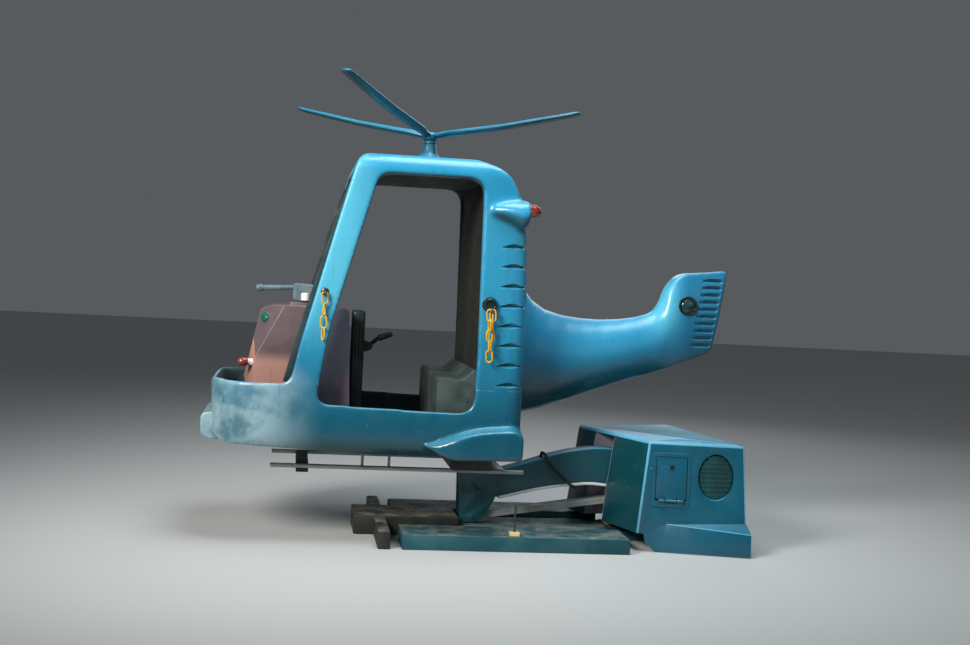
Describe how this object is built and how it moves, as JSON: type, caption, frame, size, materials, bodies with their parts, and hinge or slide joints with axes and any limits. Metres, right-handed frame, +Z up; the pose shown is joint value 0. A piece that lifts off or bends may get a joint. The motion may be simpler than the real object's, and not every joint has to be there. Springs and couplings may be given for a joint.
{
  "type": "fairground helicopter ride",
  "caption": "Open helicopter ride car on a lifting arm and link, with rotor, tail fin, console and seat, beside a moulded machine cover on a low steel base.",
  "frame": {"origin": "on the ground under the base spine, on the centreline, beneath the front part of the machine cover", "axes": "+Z up, the car's nose points to -X, the car's left side faces -Y"},
  "size_m": [3.1582, 1.4158, 2.606],
  "materials": {
    "body_blue": "glossy, scratched and dusty",
    "arm_blue": "satin, scuffed",
    "cover_blue": "satin, dusty",
    "base_steel": "dull, dirty",
    "dark_metal": "dull, dirty",
    "cabin_floor": "dull",
    "console_red": "faded, scuffed",
    "bulkhead_brown": "dull",
    "gun_grey": "scuffed",
    "seat_grey": "scuffed",
    "rail_pale": "dull, stained",
    "chain_yellow": "faded",
    "lamp_red": "glossy",
    "button_green": "glossy",
    "knob_white": "glossy",
    "hose_rubber": "dull"
  },
  "bodies": {
    "base": {"base_spine": "base_steel", "rest_beam": "dark_metal", "side_platform_left": "base_steel", "side_platform_right": "base_steel", "stop_post": "rail_pale", "pivot_bracket": "base_steel", "machine_cover": "cover_blue", "cover_vent": "dark_metal", "hatch_hinge": "base_steel"},
    "arm": {"upper_arm": "arm_blue", "arm_hose": "hose_rubber"},
    "link": {"lower_link": "rail_pale"},
    "rotor": {"rotor_hub": "body_blue", "rotor_blade_rear": "body_blue", "rotor_blade_far": "body_blue", "rotor_blade_near": "body_blue"},
    "hatch": {"hatch_flap": "cover_blue", "hatch_lock": "base_steel"},
    "lever": {"control_lever": "dark_metal"},
    "gun": {"mock_gun": "gun_grey"},
    "car": {"hull_tub": "body_blue", "cabin_floor": "cabin_floor", "front_pillar_left": "body_blue", "front_pillar_right": "body_blue", "roof_shell": "body_blue", "rear_cowl": "body_blue", "rear_bulkhead": "bulkhead_brown", "sponson_left": "body_blue", "sponson_right": "body_blue", "exhaust_pod_left": "body_blue", "exhaust_pod_right": "body_blue", "exhaust_lamp_left": "lamp_red", "exhaust_lamp_right": "lamp_red", "nose_bumper": "body_blue", "tail_boom": "body_blue", "tail_fin": "body_blue", "fin_hub": "dark_metal", "console_box": "console_red", "control_column": "dark_metal", "console_lamp": "lamp_red", "fire_button": "button_green", "selector_knob": "knob_white", "seat_bench": "seat_grey", "pillar_chain_left": "chain_yellow", "pillar_chain_right": "chain_yellow", "rear_chain_left": "chain_yellow", "rear_chain_right": "chain_yellow", "rotor_mast": "body_blue", "support_rail_left": "rail_pale", "support_rail_right": "rail_pale", "mounting_pad": "dark_metal", "carrier_cross": "base_steel", "arm_head": "base_steel"}
  },
  "joints": [
    {"name": "arm_lift", "type": "hinge", "parent": "base", "child": "arm", "pos_m": [-0.15, 0, 0.39], "axis": [0, 1, 0], "range_deg": [0, 17]},
    {"name": "link_swing", "type": "hinge", "parent": "base", "child": "link", "pos_m": [-0.19, 0, 0.24], "axis": [0, 1, 0], "range_deg": [0, 17]},
    {"name": "car_level", "type": "hinge", "parent": "arm", "child": "car", "pos_m": [-1.11, 0, 0.25], "axis": [0, 1, 0], "range_deg": [-17, 0]},
    {"name": "rotor_spin", "type": "hinge", "parent": "car", "child": "rotor", "pos_m": [-1.502, 0, 2.348], "axis": [0, 0, 1], "continuous": true},
    {"name": "hatch_hinge", "type": "hinge", "parent": "base", "child": "hatch", "pos_m": [-0.04967, -0.50219, 0.29813], "axis": [0.9909, -0.1348, 0], "range_deg": [0, 110]},
    {"name": "lever_tilt", "type": "hinge", "parent": "car", "child": "lever", "pos_m": [-1.808, 0, 1.09], "axis": [0, 1, 0], "range_deg": [-15, 15]},
    {"name": "gun_swivel", "type": "hinge", "parent": "car", "child": "gun", "pos_m": [-2.2, 0, 1.349], "axis": [0, 0, 1], "range_deg": [-20, 20]}
  ],
  "couplings": [
    {"joint": "link_swing", "follows": "arm_lift", "ratio": 1},
    {"joint": "car_level", "follows": "arm_lift", "ratio": -1}
  ]
}
